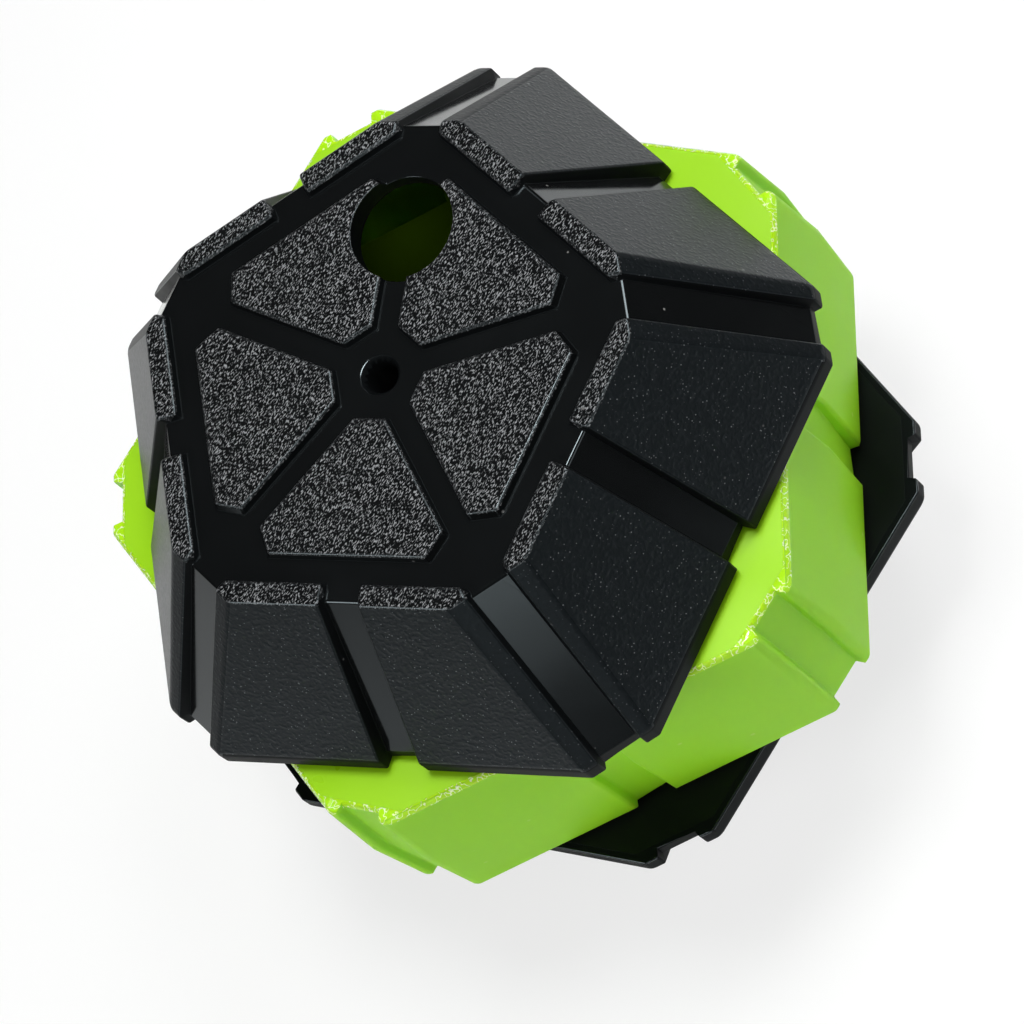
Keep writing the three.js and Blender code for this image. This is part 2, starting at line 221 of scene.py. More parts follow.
def makeDustGroup():
    group, start, end = newGroup(
        "dustAndScratches",
        [
            ("Dust Size", "NodeSocketFloat", dustSettings["size"]),
            ("Turn", "NodeSocketVector", dustSettings["turn"]),
        ],
        ["Dust", "Scratch", "Smear"],
    )
    place = group.nodes.new("ShaderNodeTexCoord").outputs["Object"]
    mapping = addNode(
        group, "ShaderNodeMapping", Vector=place, Rotation=start["Turn"], Scale=dustSettings["stretch"]
    )
    lines = noise(group, mapping.outputs["Vector"], **dustSettings["line"])
    dust = specks(group, place, start["Dust Size"], dustSettings["near"], dustSettings["chosen"])
    feed(group, end["Dust"], dust)
    feed(group, end["Scratch"], ramp(group, lines, dustSettings["thin"]))
    feed(group, end["Smear"], noise(group, place, **dustSettings["smear"]))
    return group


grainGroup = makeGrainGroup()
dustGroup = makeDustGroup()
coolTint = (0.80, 0.95, 1.0, 1)
plainTint = (1, 1, 1, 1)
paleDust = (0.12, 0.12, 0.12, 1)


def blackGrain(name, settings):
    material, tree, bsdf = newTree(name)
    sizes = {"Crinkle Size": settings["crinkle"], "Ridge Size": settings["ridge"]}
    grain = placeGroup(tree, grainGroup, sizes)
    dust = placeGroup(tree, dustGroup, {"Dust Size": settings["dust"]})
    dark = mixColor(tree, dust["Smear"], settings["low"], settings["high"])
    # painted highlight: the grain's ridges are coloured lighter, as if lit by a lamp
    ridgeLit = mixColor(tree, grain["Ridge"], dark, settings["ridgeHighlight"])
    dusty = mixColor(tree, dust["Dust"], ridgeLit, paleDust)
    # painted glints: light specks in the colour stand for grains that catch a lamp
    glintsPainted = mixColor(tree, grain["Glint"], dusty, settings["glintColor"])
    rough = mapRange(tree, grain["Crinkle"], wholeRange, settings["rough"])
    height = calc(tree, "MULTIPLY_ADD", grain["Ridge"], settings["ridgeRise"], grain["Crinkle"])
    feed(tree, bsdf.inputs["Base Color"], glintsPainted)
    feed(tree, bsdf.inputs["Roughness"], rough)
    bumpTo(tree, bsdf, height, settings["strength"], settings["depth"])
    bsdf.inputs["Specular IOR Level"].default_value = settings["specular"]
    bsdf.inputs["Specular Tint"].default_value = coolTint
    return material


padLook = {
    "crinkle": 1700.0, "ridge": (1900.0, 4300.0, 2800.0), "ridgeRise": 1.0, "dust": 150.0,
    "low": (0.0030, 0.0032, 0.0034, 1), "high": (0.0044, 0.0047, 0.0050, 1),
    "glintColor": (0.010, 0.010, 0.011, 1),
}
# pads: the bright ridge colour is a painted highlight on the grain
padGrain = blackGrain("padGrain", {
    **padLook, "ridgeHighlight": (0.245, 0.253, 0.261, 1),
    "rough": (0.30, 0.38), "strength": 0.5, "depth": 0.06 * mm, "specular": 0.02,
})
padEdge = blackGrain("padEdge", {
    **padLook, "ridgeHighlight": (0.120, 0.124, 0.128, 1),
    "rough": (0.24, 0.32), "strength": 0.4, "depth": 0.05 * mm, "specular": 0.5,
})
# sides: the ridge colour is a little lighter than the dark tone, a faint painted highlight
sideLook = {
    "crinkle": 1250.0, "ridge": (1250.0, 1250.0, 1250.0), "ridgeRise": 0.2, "dust": 170.0,
    "low": (0.0018, 0.0028, 0.0036, 1), "high": (0.0027, 0.0040, 0.0049, 1),
    "ridgeHighlight": (0.0040, 0.0055, 0.0066, 1), "strength": 0.5,
}
# panels: bright painted glints; the lobes below get fainter ones
panelGrain = blackGrain("panelGrain", {
    **sideLook, "glintColor": (0.16, 0.17, 0.18, 1),
    "rough": (0.32, 0.42), "depth": 0.15 * mm, "specular": 0.36,
})
lobeGrain = blackGrain("lobeGrain", {
    **sideLook, "glintColor": (0.08, 0.085, 0.09, 1),
    "rough": (0.40, 0.50), "depth": 0.12 * mm, "specular": 0.2,
})

# what all smooth plastics share
plasticSettings = {
    "smearRange": (0.25, 0.75),
    "specular": 0.5,
    "scatterRadius": (1.0, 0.8, 0.15),
    "scatterScale": 2.0 * mm,
    "ripple": {"Detail": 1.0, "Distortion": 0.4},
    "rippleStrength": 1.0,
    "scratchDepth": 0.02 * mm,
}


def smoothPlastic(name, settings):
    material, tree, bsdf = newTree(name)
    dust = placeGroup(tree, dustGroup, {"Dust Size": settings["dust"], "Turn": settings["turn"]})
    tone = mixColor(tree, dust["Smear"], settings["low"], settings["high"])
    color = mixColor(tree, dust["Dust"], tone, settings["dustColor"])
    if "sheenLine" in settings:  # painted sheen lines on the rim, standing for reflections in its ripples
        grain = placeGroup(tree, grainGroup, {"Sheen Line Size": settings["sheenLine"]})
        color = mixColor(tree, grain["Sheen Line"], color, settings["sheenLineColor"])
    rough = mapRange(tree, dust["Smear"], plasticSettings["smearRange"], settings["rough"])
    feed(tree, bsdf.inputs["Base Color"], color)
    feed(tree, bsdf.inputs["Roughness"], rough)
    bsdf.inputs["Specular IOR Level"].default_value = settings.get("specular", plasticSettings["specular"])
    bsdf.inputs["Specular Tint"].default_value = settings.get("tint", plainTint)
    bsdf.inputs["Metallic"].default_value = settings.get("metallic", 0.0)
    if "scatter" in settings:  # light that passes through thin edges
        bsdf.inputs["Subsurface Weight"].default_value = settings["scatter"]
        bsdf.inputs["Subsurface Radius"].default_value = plasticSettings["scatterRadius"]
        bsdf.inputs["Subsurface Scale"].default_value = plasticSettings["scatterScale"]
    if "ripple" in settings:  # uneven flow along a moulded rim
        place = tree.nodes.new("ShaderNodeTexCoord").outputs["Object"]
        ripple = noise(tree, place, Scale=settings["ripple"], **plasticSettings["ripple"])
        bumpTo(tree, bsdf, ripple, plasticSettings["rippleStrength"], settings["rippleDepth"])
    else:
        bumpTo(tree, bsdf, dust["Scratch"], settings["scratch"], plasticSettings["scratchDepth"])
    return material


shellLook = {
    "dust": 190.0, "turn": (0.0, 0.0, 0.5), "dustColor": paleDust, "scratch": 0.3, "tint": coolTint,
}
shadeLook = {
    **shellLook, "low": (0.0026, 0.0031, 0.0034, 1), "high": (0.0040, 0.0046, 0.0050, 1), "specular": 0.06,
}
innerLook = {"turn": (0.0, 0.0, 0.2), "dustColor": (0.3, 0.3, 0.3, 1), "scratch": 0.2}
grooveBlack = smoothPlastic("grooveBlack", {
    **shellLook, "low": (0.0026, 0.0029, 0.0030, 1), "high": (0.0038, 0.0042, 0.0044, 1),
    "dustColor": (0.25, 0.25, 0.24, 1), "rough": (0.1, 0.16), "scratch": 0.15,
})
landBlack = smoothPlastic("landBlack", {
    **shellLook, "low": (0.0030, 0.0036, 0.0040, 1), "high": (0.0044, 0.0052, 0.0056, 1),
    "rough": (0.50, 0.62), "specular": 0.08,
})
wallBlack = smoothPlastic("wallBlack", {**shadeLook, "rough": (0.45, 0.58)})
footBlack = smoothPlastic("footBlack", {**shadeLook, "rough": (0.40, 0.52)})
deckBlack = smoothPlastic("deckBlack", {
    "dust": 160.0, "turn": (0.0, 0.0, 1.1), "dustColor": (0.2, 0.2, 0.19, 1),
    "low": (0.0030, 0.0034, 0.0032, 1), "high": (0.0046, 0.0052, 0.0048, 1),
    "rough": (0.34, 0.42), "scratch": 0.2, "specular": 0.11, "tint": coolTint,
})
limeDeck = smoothPlastic("limeDeck", {
    "dust": 120.0, "turn": (0.0, 0.0, 0.9), "dustColor": (0.6, 0.8, 0.3, 1),
    "low": (0.285, 0.605, 0.005, 1), "high": (0.335, 0.675, 0.008, 1),
    "rough": (0.26, 0.38), "scratch": 0.2,
})
limeWall = smoothPlastic("limeWall", {
    "dust": 110.0, "turn": (0.4, 0.0, 0.9), "dustColor": (0.4, 0.7, 0.1, 1),
    "low": (0.285, 0.66, 0.012, 1), "high": (0.31, 0.71, 0.016, 1),
    "rough": (0.44, 0.56), "scratch": 0.12, "specular": 0.18, "scatter": 0.5,
})
# the rim's lighter, yellower green than the wall's is a painted highlight on the rounded rim
limeRim = smoothPlastic("limeRim", {
    "dust": 110.0, "turn": (0.4, 0.0, 0.9), "dustColor": (0.6, 0.8, 0.3, 1),
    "low": (0.38, 0.74, 0.008, 1), "high": (0.43, 0.80, 0.012, 1),
    "rough": (0.12, 0.18), "ripple": 700.0, "rippleDepth": 0.25 * mm,
    # painted reflections: thin pale sheen lines along the rim
    "sheenLine": 700.0, "sheenLineColor": (0.84, 0.98, 0.52, 1), "scatter": 0.5,
})
hubBlack = smoothPlastic("hubBlack", {
    **innerLook, "dust": 190.0, "low": (0.012, 0.012, 0.013, 1), "high": (0.02, 0.02, 0.021, 1),
    "rough": (0.4, 0.55),
})
slipWhite = smoothPlastic("slipWhite", {
    **innerLook, "dust": 200.0, "low": (0.70, 0.70, 0.66, 1), "high": (0.80, 0.80, 0.76, 1),
    "rough": (0.35, 0.5),
})
zincSteel = smoothPlastic("zincSteel", {
    **innerLook, "dust": 200.0, "low": (0.20, 0.20, 0.21, 1), "high": (0.28, 0.28, 0.29, 1),
    "dustColor": (0.1, 0.1, 0.1, 1), "rough": (0.35, 0.5), "scratch": 0.4, "metallic": 1.0,
})
print("materials made")

# mouldings: merged copies of the frame's solids with their edges rounded as the mould rounds them
mouldSettings = {
    "merge": 0.002 * mm,
    "coplanar": 1.5,  # degrees within which neighbouring faces become one
    "profile": 0.5,
    "flatTilt": 0.9999,
    "flatBand": 0.02 * mm,
    "sharp": 42.0,  # degrees above which an edge shades hard
}


def mergedCopy(node):
    shape = bmesh.new()
    shape.from_mesh(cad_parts[node].data)
    bmesh.ops.remove_doubles(shape, verts=shape.verts, dist=mouldSettings["merge"])
    bmesh.ops.dissolve_limit(
        shape,
        angle_limit=math.radians(mouldSettings["coplanar"]),
        verts=shape.verts,
        edges=shape.edges,
        delimit=set(),
    )
    shape.normal_update()
    shape.edges.index_update()
    return shape


# edges between two faces that meet at no less than this angle, in degrees
def bentEdges(shape, least):
    limit = math.radians(least)
    return [e for e in shape.edges if len(e.link_faces) == 2 and e.calc_face_angle(0) >= limit]


# rounds each edge by its own width, through the bevel modifier's edge weights
def roundEdges(shape, widths, segments):
    widest = max(widths.values())
    weight = shape.edges.layers.float.new("bevel_weight_edge")
    shape.edges.ensure_lookup_table()
    for index, width in widths.items():
        shape.edges[index][weight] = width / widest
    mesh = bpy.data.meshes.new("rounding")
    shape.to_mesh(mesh)
    shape.free()
    holder = linkPiece("rounding", mesh)
    bevel = holder.modifiers.new("round", "BEVEL")
    bevel.limit_method = "WEIGHT"
    bevel.width = widest
    bevel.segments = segments
    bevel.profile = mouldSettings["profile"]
    bevel.material = -1
    bevel.use_clamp_overlap = False
    bevel.miter_outer = "MITER_SHARP"
    graph = bpy.context.evaluated_depsgraph_get()
    rounded = bpy.data.meshes.new_from_object(holder.evaluated_get(graph))
    result = bmesh.new()
    result.from_mesh(rounded)
    bpy.data.objects.remove(holder)
    bpy.data.meshes.remove(mesh)
    bpy.data.meshes.remove(rounded)
    result.normal_update()
    return result


# the level faces at a height, and their edges split into rim and inner ones
def flatRegion(shape, z, up):
    flat = [
        f for f in shape.faces
        if f.normal.z * up > mouldSettings["flatTilt"]
        and abs(f.calc_center_median().z - z) < mouldSettings["flatBand"]
    ]
    inside = set(flat)
    rim, inner = [], []
    for edge in dict.fromkeys(e for f in flat for e in f.edges):
        shared = sum(g in inside for g in edge.link_faces)
        (inner if shared == 2 else rim).append(edge)
    return flat, rim, inner


# fills a flat face afresh, holes and all, and keeps its own straight shading
def refillFlat(shape, z, up):
    flat, rim, inner = flatRegion(shape, z, up)
    bmesh.ops.delete(shape, geom=flat, context="FACES_ONLY")
    loose = [e for e in inner if e.is_valid and not e.link_faces]
    bmesh.ops.delete(shape, geom=loose, context="EDGES")
    rim = [e for e in rim if e.is_valid]
    made = bmesh.ops.triangle_fill(
        shape, use_beauty=False, use_dissolve=False, edges=rim, normal=(0, 0, up)
    )
    for face in (f for f in made["geom"] if isinstance(f, bmesh.types.BMFace)):
        face.normal_update()
        if face.normal.z * up < 0:
            face.normal_flip()
    for edge in rim:
        edge.smooth = False


# cuts a flat face into triangles and keeps its own straight shading
def splitFlat(shape, z, up):
    flat, rim, inner = flatRegion(shape, z, up)
    for edge in rim:
        edge.smooth = False
    for edge in inner:
        edge.smooth = True
    bmesh.ops.triangulate(shape, faces=flat, ngon_method="EAR_CLIP")


def finishPiece(shape, name, materials, body, node):
    mesh = bpy.data.meshes.new(name)
    for face in shape.faces:
        face.smooth = True
    shape.to_mesh(mesh)
    shape.free()
    for material in materials:
        mesh.materials.append(material)
    ruled = [edge.index for edge in mesh.edges if edge.use_edge_sharp]
    mesh.set_sharp_from_angle(angle=math.radians(mouldSettings["sharp"]))
    for index in ruled:
        mesh.edges[index].use_edge_sharp = True
    piece = linkPiece(name, mesh)
    weighted = piece.modifiers.new("evenShade", "WEIGHTED_NORMAL")
    weighted.keep_sharp = True
    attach(piece, body)
    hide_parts(node)
    return piece


# rounding widths of a shell's edges, and the forms they are told apart by
shellSettings = {
    "segments": 3,
    "least": 14.0,
    "foot": 0.16 * mm,  # fillet at the foot of pads, strips and panels
    "padTop": 0.5 * mm,
    "stripEdge": 0.45 * mm,  # where a panel turns over onto the end face
    "endRim": 0.45 * mm,  # where the sunk face turns down into a groove
    "land": 0.9 * mm,
    "lobe": 0.9 * mm,
    "wall": 0.45 * mm,
    "lowEdge": 0.35 * mm,
    "holeEdge": 0.2 * mm,
    "holeReach": 28.8 * mm,
    "holeRadius": 10.4 * mm,
    "screwHole": 0.25 * mm,
    "flare": 0.88,  # share of the screw hole's flare that shows
    "flareBand": 0.05 * mm,
    "bend": 2.8 * mm,  # where the groove floors start to slope
    "wide": (62.4 * mm, 73.33 * mm),  # reach of the groove and channel floors there
    "end": (44.0 * mm, 49.39 * mm),  # and at the end face
}
# heights are from the wide edge, or from the sunk face where the note says so
shellLimits = {
    "screwReach": 6.0 * mm,
    "screwDepth": 2.0 * mm,  # below the sunk face
    "boreDepth": 3.0 * mm,  # below the sunk face
    "hubReach": 40.0 * mm,  # hub and inner walls lie inside it, sloping sides outside
    "footReach": 52.0 * mm,
    "level": 0.1 * mm,
    "lip": 0.3 * mm,
    "innerLow": 0.6 * mm,
    "landTop": 6.0 * mm,
    "skirtTop": 5.0 * mm,
    "endBand": 0.3 * mm,  # either side of the sunk face
    "raised": 0.5 * mm,  # above the sunk face
    "padBand": 0.9 * mm,  # above the sunk face
    "footTop": 0.35 * mm,  # above the sunk face
    "touch": 0.004 * mm,
    "proudLand": 0.5 * mm,  # how far lands, walls, fillets and panels stand out
    "proudWall": 0.1 * mm,
    "proudFoot": 0.2 * mm,
    "proudPanel": 0.9 * mm,
}
# tilts are the upward share of a face's normal, outward shares are along the radius
shellTilts = {
    "under": -0.2,
    "outward": 0.3,
    "flat": 0.95,
    "slope": (0.2, 0.8),
    "upright": 0.1,
    "lobe": 0.3,
    "lobeAngle": 45.0,
    "padLeast": 0.25,
    "padTop": 0.97,
    "lipUnder": -0.985,
    "inward": -0.15,
    "wall": 0.3,
    "foot": (0.2, 0.985),
    "bore": 0.9,
    "panelLeast": 0.1,
    "level": 0.2,  # faces with a shorter share along the plan have no bearing
    "along": 50.0,  # walls look this far off the radius, in degrees
    "foothold": 12.0,  # and the fillets at their feet this far
    "lobeTurn": 9.0,  # lobes look this far off the nearest side
}
shellFinishes = {
    "groove": grooveBlack,
    "pad": padGrain,
    "panel": panelGrain,
    "land": landBlack,
    "wall": wallBlack,
    "foot": footBlack,
    "lobe": lobeGrain,
    "padEdge": padEdge,
}


def planReach(point):
    return math.hypot(point.x, point.y)


def planRadius(point):
    return Vector((point.x, point.y, 0)).normalized()


# degrees from the middle of the nearest side
def fromSide(azimuth):
    return (azimuth + halfStep) % sideStep - halfStep


# how far a point of the sloping side stands out from the groove and channel floors
def standOut(point, turn, height, rise):
    reach = planReach(point)
    azimuth = math.degrees(math.atan2(point.y, point.x)) - turn
    toCorner = azimuth % sideStep - halfStep
    bend = shellSettings["bend"]
    along = max(0, height - bend) / (rise - bend)
    side, corner = (
        wide + along * (end - wide) for wide, end in zip(shellSettings["wide"], shellSettings["end"])
    )
    return max(
        reach * math.cos(math.radians(fromSide(azimuth))) - side,
        reach * math.cos(math.radians(toCorner)) - corner,
    )


# how far a face is turned away from the nearest side, in degrees
def offSide(normal, turn):
    azimuth = math.degrees(math.atan2(normal.y, normal.x)) - turn
    return abs(fromSide(azimuth)) if planReach(normal) > shellTilts["level"] else 0


# how far a face is turned off the radius, in degrees: walls of grooves and channels look along the shell
def looksAlong(normal, centre):
    if planReach(normal) < shellTilts["level"]:
        return 0
    apart = math.degrees(math.atan2(normal.y, normal.x) - math.atan2(centre.y, centre.x))
    return abs((apart + 180) % 360 - 180)


def shellPlace(layer):
    up = 1 if layer["face"] > layer["edge"] else -1
    azimuth = math.radians(layer["turn"] + up * (halfStep + sideStep * layer["holeCorner"]))
    hole = Vector((math.cos(azimuth), math.sin(azimuth))) * shellSettings["holeReach"]
    return {**layer, "up": up, "rise": abs(layer["face"] - layer["edge"]), "hole": hole}


# which rounding an edge of a shell gets, or none
def shellRounding(edge, place):
    limits, tilts, rise = shellLimits, shellTilts, place["rise"]
    low, high = sorted(f.normal.z * place["up"] for f in edge.link_faces)
    heights = [(v.co.z - place["edge"]) * place["up"] for v in edge.verts]
    middle = (edge.verts[0].co + edge.verts[1].co) / 2
    outward = [f.normal.dot(planRadius(middle)) for f in edge.link_faces]
    reach = planReach(middle)
    onEnd = min(heights) > rise - limits["endBand"]
    onLip = max(heights) < limits["level"]
    level = abs(heights[0] - heights[1]) < limits["level"]
    raised = min(heights) > rise + limits["raised"]
    least, most = tilts["slope"]
    if reach < limits["screwReach"] and min(heights) > rise - limits["screwDepth"]:
        return "screwHole" if level and onEnd else None
    if low < tilts["under"] or (not onEnd and min(outward) < -tilts["outward"]):
        return "lowEdge" if onLip and max(outward) > tilts["outward"] else None
    if not onEnd and reach < limits["hubReach"]:
        return None
    fromHole = max((v.co.xy - place["hole"]).length for v in edge.verts)
    if fromHole < shellSettings["holeRadius"] + limits["level"]:
        return "holeEdge"
    if not edge.is_convex:
        return "foot"
    if high > tilts["flat"] and least < low < most and onEnd:
        return "stripEdge" if raised else "endRim"
    if high > tilts["flat"] and onEnd:
        return "padTop"
    atLand = max(heights) < limits["landTop"] and level
    if least < high < most and abs(low) < tilts["upright"] and atLand:
        proud = standOut(middle, place["turn"], heights[0], rise)
        return "land" if proud > limits["proudLand"] else "foot"
    if tilts["lobe"] < low and edge.calc_face_angle(0) < math.radians(tilts["lobeAngle"]):
        return "lobe"
    return "lowEdge" if onLip else "wall"


# which finish a face of a shell gets
def shellFinish(face, place):
    limits, tilts, rise = shellLimits, shellTilts, place["rise"]
    centre = face.calc_center_median()
    height = (centre.z - place["edge"]) * place["up"]
    tilt = face.normal.z * place["up"]
    reach = planReach(centre)
    proud = standOut(centre, place["turn"], height, rise)
    along = looksAlong(face.normal, centre)
    inward = face.normal.dot(planRadius(centre)) < tilts["inward"]
    inner = inward or tilt < -tilts["wall"] or reach < limits["hubReach"]
    steep = abs(tilt) < tilts["slope"][1]
    if height > rise + limits["padBand"] and tilt > tilts["padLeast"]:
        return "pad" if tilt > tilts["padTop"] else "padEdge"
    if height < limits["lip"] and tilt < tilts["lipUnder"]:
        return "foot"
    if limits["innerLow"] < height < rise - limits["endBand"] and inner:
        return "wall"
    if height > rise + limits["endBand"] and abs(tilt) < tilts["wall"]:
        return "wall"
    atFoot = limits["touch"] < height - rise < limits["footTop"]
    onFace = limits["screwReach"] < reach < limits["footReach"]
    if atFoot and tilts["foot"][0] < tilt < tilts["foot"][1] and onFace:
        return "foot"
    if abs(tilt) < tilts["wall"] and height < limits["skirtTop"] and proud > -limits["proudLand"]:
        return "land" if proud > limits["proudLand"] else "foot"
    if reach < limits["screwReach"] and height > rise - limits["boreDepth"] and tilt < tilts["bore"]:
        return "wall"
    if steep and proud > limits["proudWall"] and along > tilts["along"]:
        return "wall"
    if steep and limits["touch"] < proud < limits["proudFoot"] and along > tilts["foothold"]:
        return "wall"
    onSide = reach > limits["hubReach"] and proud > limits["proudPanel"]
    if tilts["panelLeast"] < tilt < tilts["slope"][1] and onSide:
        return "lobe" if offSide(face.normal, place["turn"]) > tilts["lobeTurn"] else "panel"
    return "groove"


def makeShell(name, node, body, layer):
    place = shellPlace(layer)
    shape = mergedCopy(node)
    flare = [
        v for v in shape.verts
        if planReach(v.co) < shellLimits["screwReach"]
        and abs(v.co.z - place["face"]) < shellSettings["flareBand"]
    ]
    bmesh.ops.scale(shape, vec=(shellSettings["flare"], shellSettings["flare"], 1), verts=flare)
    shape.normal_update()
    widths = {}
    for edge in bentEdges(shape, shellSettings["least"]):
        rounding = shellRounding(edge, place)
        if rounding:
            widths[edge.index] = shellSettings[rounding]
    shape = roundEdges(shape, widths, shellSettings["segments"])
    refillFlat(shape, place["face"], place["up"])
    order = list(shellFinishes)
    for face in shape.faces:
        face.material_index = order.index(shellFinish(face, place))
    return finishPiece(shape, name, shellFinishes.values(), body, node)


topShell = makeShell("topShell", "top_shell", "top", layers["top"])
bottomShell = makeShell("bottomShell", "bottom_shell", "base", layers["bottom"])
print("shells made", len(topShell.data.polygons))

ringSettings = {
    "wall": 0.8 * mm,
    "foot": 0.4 * mm,
    "shoulder": 0.75 * mm,
    "rim": 0.75 * mm,  # shoulders lie within this of the ring's ends
    "segments": 4,
    "least": 14.0,
    "inward": -0.3,
    "level": 0.1 * mm,
    "lipBand": 1.5 * mm,
    "lipTilt": 0.2,
    "lipReach": 55.0 * mm,
}


def ringWidths(shape):
    widths = {}
    for edge in bentEdges(shape, ringSettings["least"]):
        away = planRadius((edge.verts[0].co + edge.verts[1].co) / 2)
        heights = [v.co.z for v in edge.verts]
        fromEnd = min(min(heights) - layers["ring"]["low"], layers["ring"]["high"] - max(heights))
        inward = min(f.normal.dot(away) for f in edge.link_faces) < ringSettings["inward"]
        if inward or fromEnd < ringSettings["level"]:
            continue
        if abs(heights[0] - heights[1]) >= ringSettings["level"]:
            widths[edge.index] = ringSettings["wall" if edge.is_convex else "foot"]
        elif fromEnd < ringSettings["rim"]:
            widths[edge.index] = ringSettings["shoulder"]
    return widths


def makeRing():
    shape = mergedCopy("mid_ring")
    shape = roundEdges(shape, ringWidths(shape), ringSettings["segments"])
    splitFlat(shape, layers["ring"]["low"], -1)
    splitFlat(shape, layers["ring"]["high"], 1)
    lipLow = layers["ring"]["high"] - ringSettings["lipBand"]
    for face in shape.faces:
        centre = face.calc_center_median()
        # lip faces take limeRim and its painted highlight
        atLip = centre.z > lipLow and face.normal.z > ringSettings["lipTilt"]
        face.material_index = int(atLip and planReach(centre) > ringSettings["lipReach"])
    piece = finishPiece(shape, "middleRing", (limeWall, limeRim), "middle", "mid_ring")


plateSettings = {
    "fit": 1.0030,
    "wall": 0.12 * mm,
    "rim": 0.06 * mm,
    "foot": 0.12 * mm,
    "rimBand": 1.2 * mm,
    "segments": 3,
    "least": 20.0,
}


def plateWidths(shape, rimLow, rimHigh):
    band = plateSettings["rimBand"]
    widths = {}
    for edge in bentEdges(shape, plateSettings["least"]):
        heights = [v.co.z for v in edge.verts]
        if max(heights) < rimLow + band or min(heights) > rimHigh - band:
            widths[edge.index] = plateSettings["rim"]
        else:
            widths[edge.index] = plateSettings["wall" if edge.is_convex else "foot"]
    return widths


def makeDeck(name, node, body, material):
    low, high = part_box(node)
    shape = mergedCopy(node)
    bmesh.ops.scale(shape, vec=(plateSettings["fit"], plateSettings["fit"], 1), verts=shape.verts)
    shape = roundEdges(shape, plateWidths(shape, low[2], high[2]), plateSettings["segments"])
    refillFlat(shape, low[2], -1)
    refillFlat(shape, high[2], 1)
    piece = finishPiece(shape, name, (material,), body, node)


makeRing()
makeDeck("middleDeck", "mid_deck", "middle", limeDeck)
makeDeck("bottomDeck", "bottom_deck", "base", deckBlack)
print("ring and decks made")

# pieces that keep the frame's own solids
hiddenFinishes = {
    "axle_post": hubBlack,
    "top_floor": deckBlack,
    "top_screw": zincSteel,
    "bottom_screw": zincSteel,
    "top_washer": zincSteel,
    "bottom_washer": zincSteel,
    "upper_thrust_washer": slipWhite,
    "lower_thrust_washer": slipWhite,
}
for node, finish in hiddenFinishes.items():
    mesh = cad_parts[node].data
    mesh.materials.clear()
    mesh.materials.append(finish)
print("inner pieces finished")

# camera at the photograph's place, turned with the top shell
cameraSettings = {
    "unit": 44.0 * mm,
    "eye": Vector((6.84208, 10.27276, 19.50144)),
    "forward": Vector((-0.27665, -0.42317, -0.86278)),
    "up": Vector((-0.94885, -0.02188, 0.31498)),
    "lens": 193.5,
    "sensor": 36.0,
    "clipEnd": 20.0,
}


def makeCamera():
    turn = Matrix.Rotation(math.radians(layers["top"]["turn"]), 3, "Z")
    centre = Vector((0, 0, layers["top"]["face"]))
    eye = turn @ (cameraSettings["eye"] * cameraSettings["unit"]) + centre
    forward = (turn @ cameraSettings["forward"]).normalized()
    right = forward.cross(turn @ cameraSettings["up"]).normalized()
    up = right.cross(forward)
    data = bpy.data.cameras.new("photoCamera")
    data.lens = cameraSettings["lens"]
    data.sensor_width = cameraSettings["sensor"]
    data.clip_end = cameraSettings["clipEnd"]
    camera = linkPiece("photoCamera", data)
    pose = Matrix((right, up, -forward)).transposed().to_4x4()
    pose.translation = eye
    camera.matrix_world = pose
    bpy.context.scene.camera = camera


makeCamera()

# pale floor and soft boxes
floorSettings = {
    "half": 4.0,
    "level": -0.02 * mm,  # just clear of the pads that stand on it
    "color": (0.92, 0.92, 0.92, 1),
    "farShade": (0.18, 0.18, 0.18, 1),  # painted shade: the floor darkens far out, standing for the darker studio beyond the table
    "farShadeRange": (0.45, 1.0),
    "glow": 1.0,
    "shown": (0.72, 1.0),  # share of plain white that the camera sees, near and far
    "shownRange": (0.35, 1.1),
    "mirrored": 0.03,  # and that glossy surfaces see
}


def makeFloor():
    shape = bmesh.new()
    bmesh.ops.create_grid(shape, x_segments=1, y_segments=1, size=floorSettings["half"])
    bmesh.ops.translate(shape, vec=(0, 0, floorSettings["level"]), verts=shape.verts)
    mesh = bpy.data.meshes.new("floor")
    shape.to_mesh(mesh)
    shape.free()
    floor = linkPiece("floor", mesh)
    material = bpy.data.materials.new("floorWhite")
    material.use_nodes = True
    tree = material.node_tree
    tree.nodes.clear()
    output = tree.nodes.new("ShaderNodeOutputMaterial")
    rays = tree.nodes.new("ShaderNodeLightPath").outputs
    place = tree.nodes.new("ShaderNodeTexCoord").outputs["Object"]
    length = addNode(tree, "ShaderNodeVectorMath", operation="LENGTH")
    feed(tree, length.inputs[0], place)
    distance = length.outputs["Value"]
    # painted shade: the floor's colour fades to the far shade with distance
    beyond = ramp(tree, distance, floorSettings["farShadeRange"])
    color = mixColor(tree, beyond, floorSettings["color"], floorSettings["farShade"])
    matt = addNode(tree, "ShaderNodeBsdfDiffuse", Color=color)
    glow = addNode(tree, "ShaderNodeEmission", Strength=floorSettings["glow"])
    away = ramp(tree, distance, floorSettings["shownRange"], floorSettings["shown"])
    seen = calc(tree, "MULTIPLY", away, rays["Is Camera Ray"])
    factor = calc(tree, "MULTIPLY_ADD", rays["Is Glossy Ray"], floorSettings["mirrored"], seen)
    blend = tree.nodes.new("ShaderNodeMixShader")
    for socket, source in zip(blend.inputs, (factor, matt.outputs["BSDF"], glow.outputs["Emission"])):
        feed(tree, socket, source)
    feed(tree, output.inputs["Surface"], blend.outputs["Shader"])
    mesh.materials.append(material)


makeFloor()

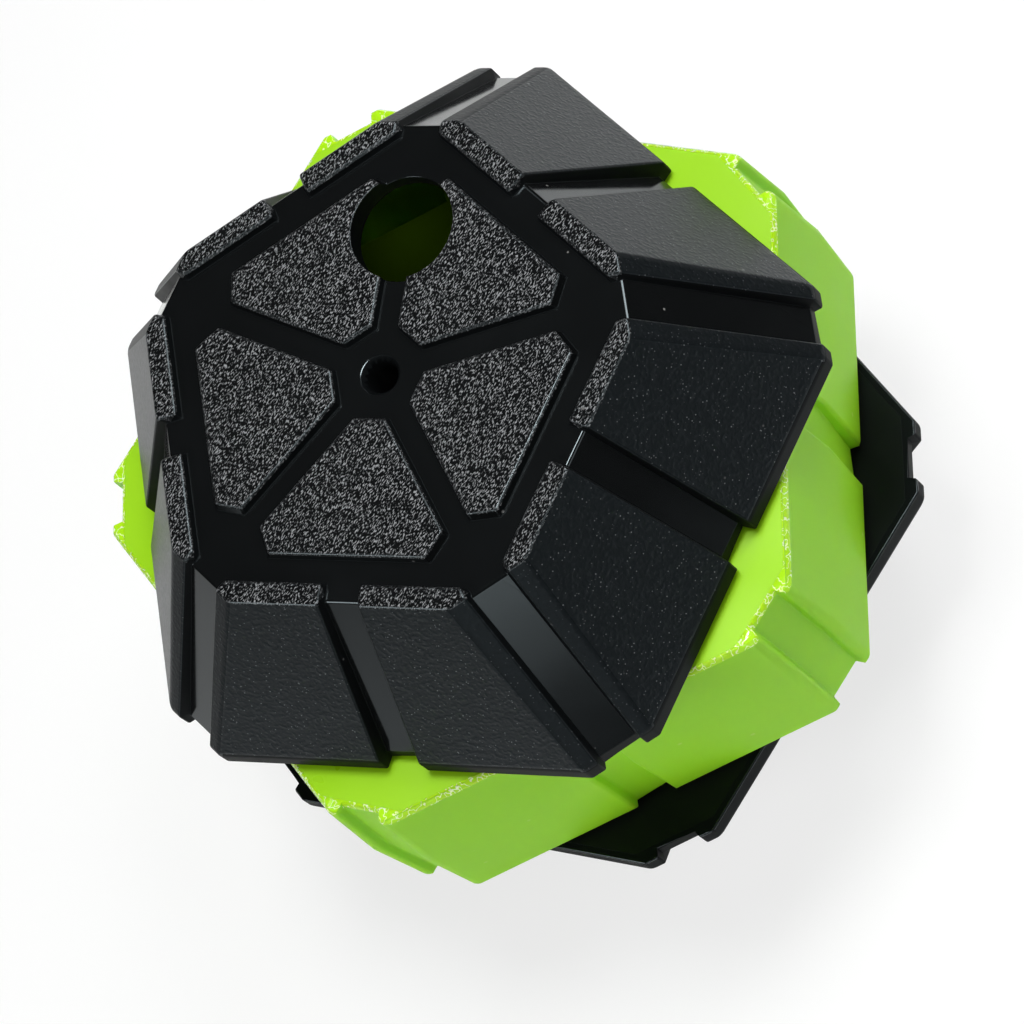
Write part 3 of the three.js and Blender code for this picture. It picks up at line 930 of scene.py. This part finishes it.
lampTarget = Vector((0, 0, 60 * mm))
lampSettings = {
    "overhead": {
        "azimuth": 20.0, "elevation": 82.0, "distance": 0.9,
        "size": (0.26, 0.26), "power": 1.3, "spread": 90.0,
    },
    "frontLeft": {
        "azimuth": 226.0, "elevation": 21.0, "distance": 1.2,
        "size": (0.8, 0.5), "power": 2.4, "spread": 180.0,
    },
    "frontRight": {
        "azimuth": 304.0, "elevation": 38.0, "distance": 1.2,
        "size": (0.7, 0.5), "power": 2.4, "spread": 180.0,
    },
    "left": {
        "azimuth": 176.0, "elevation": 34.0, "distance": 0.9,
        "size": (0.35, 0.35), "power": 0.3, "spread": 60.0,
    },
    "right": {
        "azimuth": 357.0, "elevation": 55.0, "distance": 0.9,
        "size": (0.3, 0.3), "power": 0.35, "spread": 60.0,
    },
    "rearFloor": {
        "azimuth": 25.0, "elevation": 62.0, "distance": 0.75,
        "size": (0.3, 0.3), "power": 0.2, "spread": 40.0, "reach": 0.34,
    },
    "behindCamera": {
        "azimuth": 262.0, "elevation": 60.0, "distance": 1.3,
        "size": (0.5, 0.5), "power": 0.6, "spread": 180.0,
    },
}


def makeLamp(name, settings):
    data = bpy.data.lights.new(name, "AREA")
    data.shape = "RECTANGLE"
    data.size, data.size_y = settings["size"]
    data.energy = settings["power"]
    data.spread = math.radians(settings["spread"])
    lamp = linkPiece(name, data)
    azimuth = math.radians(settings["azimuth"])
    elevation = math.radians(settings["elevation"])
    flat = math.cos(elevation)
    aim = Vector((flat * math.cos(azimuth), flat * math.sin(azimuth), math.sin(elevation)))
    target = lampTarget
    if "reach" in settings:  # lights the floor beside the object
        target = Vector((math.cos(azimuth), math.sin(azimuth), 0)) * settings["reach"]
    lamp.location = aim * settings["distance"] + target
    lamp.rotation_euler = aim.to_track_quat("Z", "Y").to_euler()


for name, settings in lampSettings.items():
    makeLamp(name, settings)

worldSettings = {
    "color": (1, 1, 1, 1),
    "strength": (0.04, 1.0),  # as a light, and as the camera sees it
}


def makeWorld():
    world = bpy.data.worlds.new("studio")
    world.use_nodes = True
    tree = world.node_tree
    back = tree.nodes["Background"]
    back.inputs["Color"].default_value = worldSettings["color"]
    rays = tree.nodes.new("ShaderNodeLightPath").outputs
    strength = mapRange(tree, rays["Is Camera Ray"], wholeRange, worldSettings["strength"])
    feed(tree, back.inputs["Strength"], strength)
    bpy.context.scene.world = world


makeWorld()
bpy.context.scene.view_settings.view_transform = "Standard"
print("camera, floor and lamps placed")
